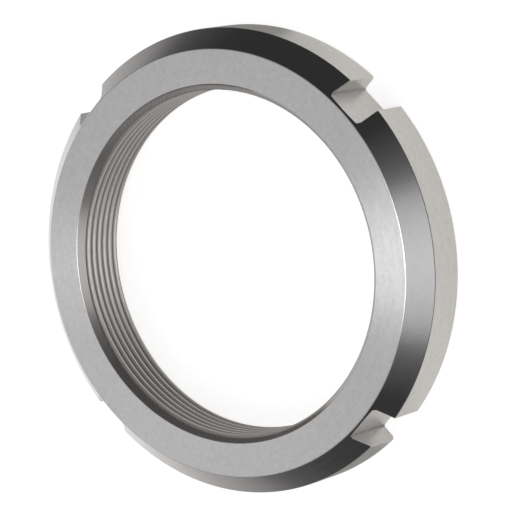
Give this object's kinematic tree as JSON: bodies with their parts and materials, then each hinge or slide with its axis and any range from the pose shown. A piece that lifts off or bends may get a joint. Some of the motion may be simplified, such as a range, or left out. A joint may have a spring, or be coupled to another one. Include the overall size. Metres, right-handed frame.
{
  "type": "bearing lock nut",
  "caption": "Slotted round lock nut with a fine internal thread, a wide outer chamfer on its clamping face and milled spanner slots, for holding a rolling bearing on a shaft.",
  "frame": {"origin": "centre of the plain rear face, on the thread axis", "axes": "+Z along the thread axis, from the plain rear face to the chamfered clamping face; +X and +Y through the middle of two spanner slots"},
  "size_m": [0.1046, 0.1046, 0.015],
  "materials": {
    "ground_steel": "turned and ground bare steel, satin faces and a smooth wide chamfer"
  },
  "bodies": {
    "root": {"lock_nut": "ground_steel"}
  },
  "joints": []
}
